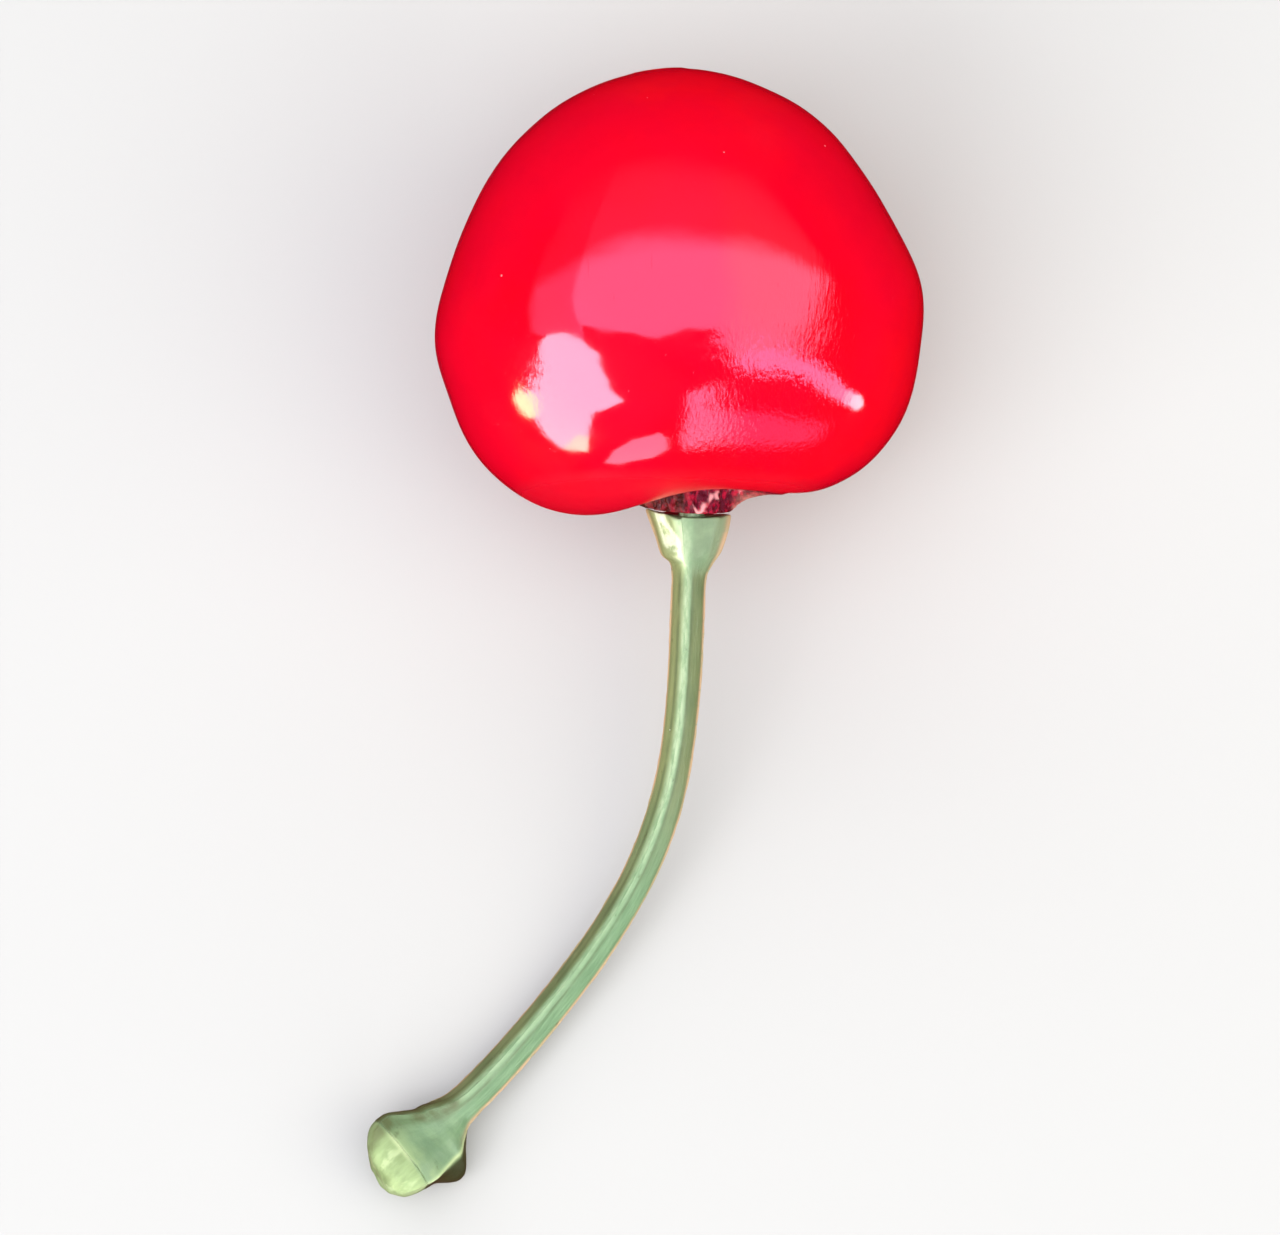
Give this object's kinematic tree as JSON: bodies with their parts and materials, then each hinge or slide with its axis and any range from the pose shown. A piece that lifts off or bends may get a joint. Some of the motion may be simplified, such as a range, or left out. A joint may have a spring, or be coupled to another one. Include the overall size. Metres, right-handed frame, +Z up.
{
  "type": "cherry on its stalk",
  "caption": "Glossy red heart-shaped cherry lying on its cheek, with a curved green stalk seated in its stem cavity and flared at the free end.",
  "frame": {"origin": "middle of the underside of the bounding box, on the surface that the cherry lies on", "axes": "+Z up, square to the surface; +Y from the stalk's free end towards the fruit's blossom end; +X across the fruit, away from the side that the stalk bends to"},
  "size_m": [0.0302, 0.059, 0.0225],
  "materials": {
    "fruit_skin": "smooth, glossy, bright saturated red skin with a soft lacquer-like coat, darker and puckered in the stem cavity",
    "stalk_green": "semi-matt grey-green with a lighter ridge, olive flanks and fine lengthwise fibres"
  },
  "bodies": {
    "root": {"fruit": "fruit_skin", "stalk": "stalk_green"}
  },
  "joints": []
}
